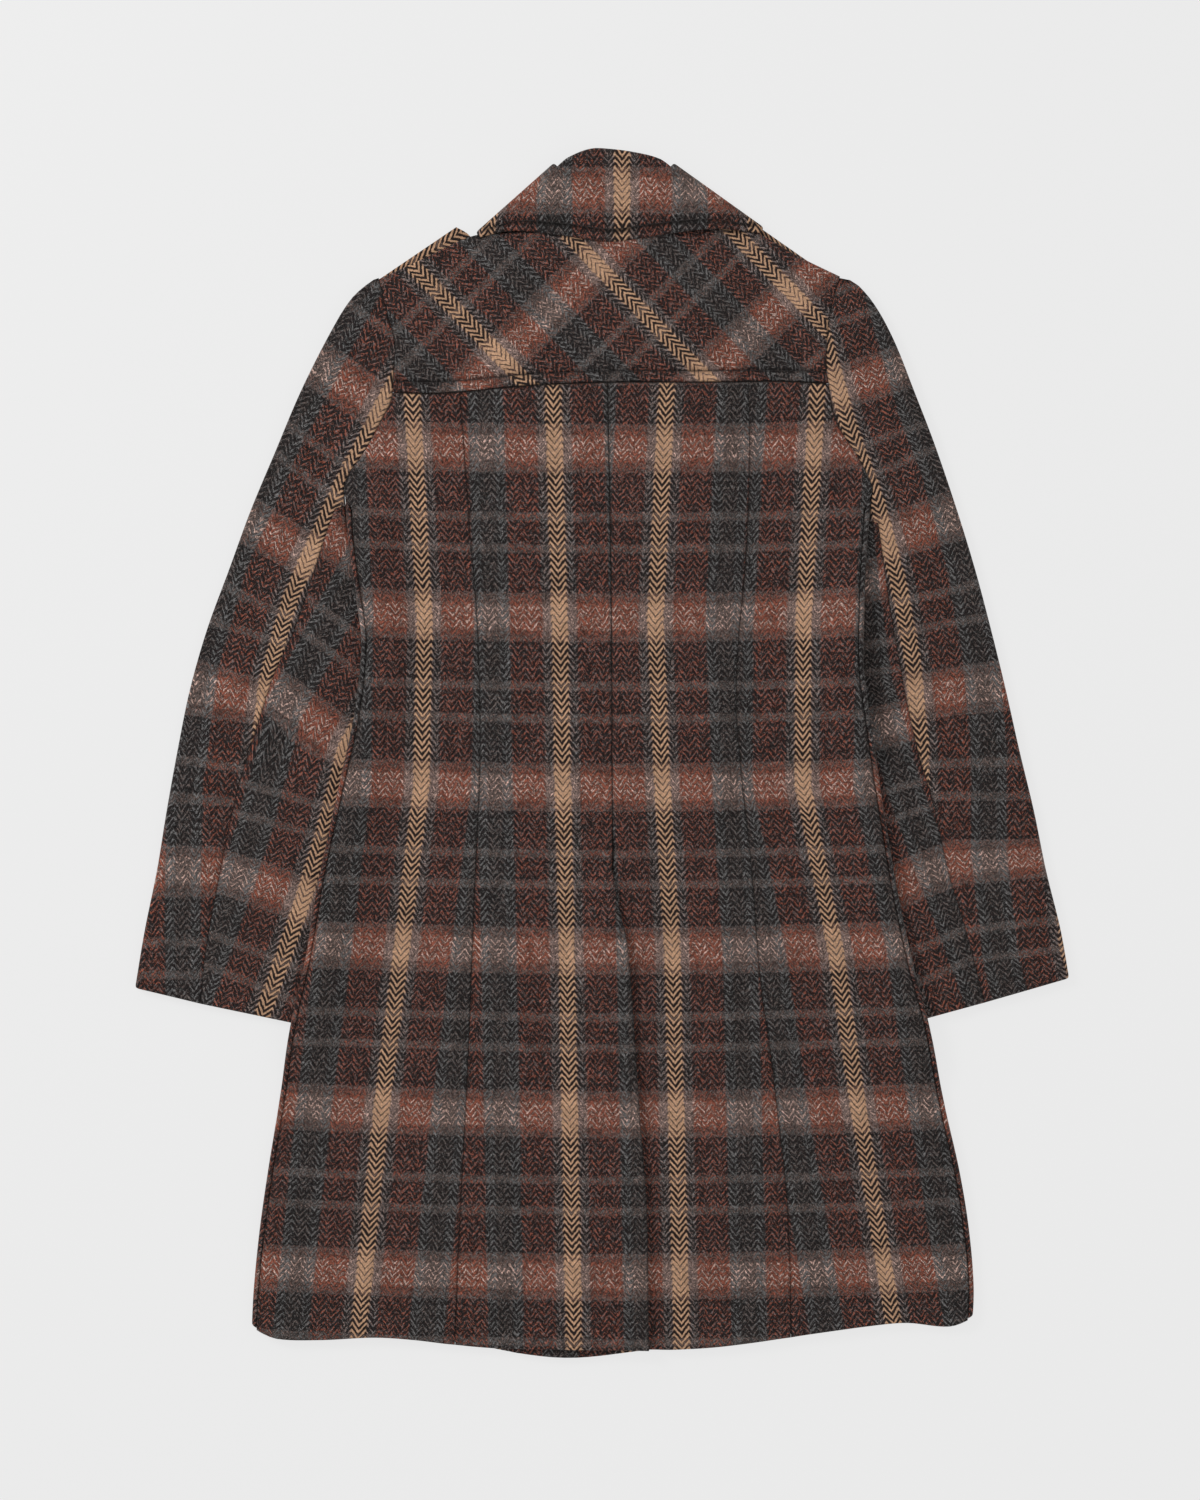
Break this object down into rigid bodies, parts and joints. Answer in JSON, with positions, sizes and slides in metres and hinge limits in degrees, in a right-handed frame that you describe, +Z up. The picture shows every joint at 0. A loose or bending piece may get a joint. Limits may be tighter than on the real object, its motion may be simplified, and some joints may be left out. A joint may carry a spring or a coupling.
{
  "type": "double-breasted coat",
  "caption": "Knee-length double-breasted wool coat with a collar, yoke, epaulettes and back vent, laid flat face down.",
  "frame": {"origin": "centre of the coat's outline, on the surface it lies on", "axes": "+Y from the hem to the collar, +X towards the wearer's right, +Z up from the surface, through the fronts to the back"},
  "size_m": [0.7644, 0.9894, 0.0173],
  "materials": {
    "plaid_wool": "matte brushed wool in a herringbone weave, plaid in rust brown, charcoal and tan",
    "horn_button": "dark horn look, polished"
  },
  "bodies": {
    "root": {"back_yoke": "plaid_wool", "centre_back_left": "plaid_wool", "centre_back_right": "plaid_wool", "side_back_left": "plaid_wool", "side_back_right": "plaid_wool", "front_left": "plaid_wool", "front_right": "plaid_wool", "top_sleeve_left": "plaid_wool", "under_sleeve_left": "plaid_wool", "top_sleeve_right": "plaid_wool", "under_sleeve_right": "plaid_wool", "collar_fall": "plaid_wool", "collar_stand": "plaid_wool", "epaulette_left": "plaid_wool", "epaulette_right": "plaid_wool", "button_left_1": "horn_button", "button_right_1": "horn_button", "button_left_2": "horn_button", "button_right_2": "horn_button", "button_left_3": "horn_button", "button_right_3": "horn_button"}
  },
  "joints": []
}
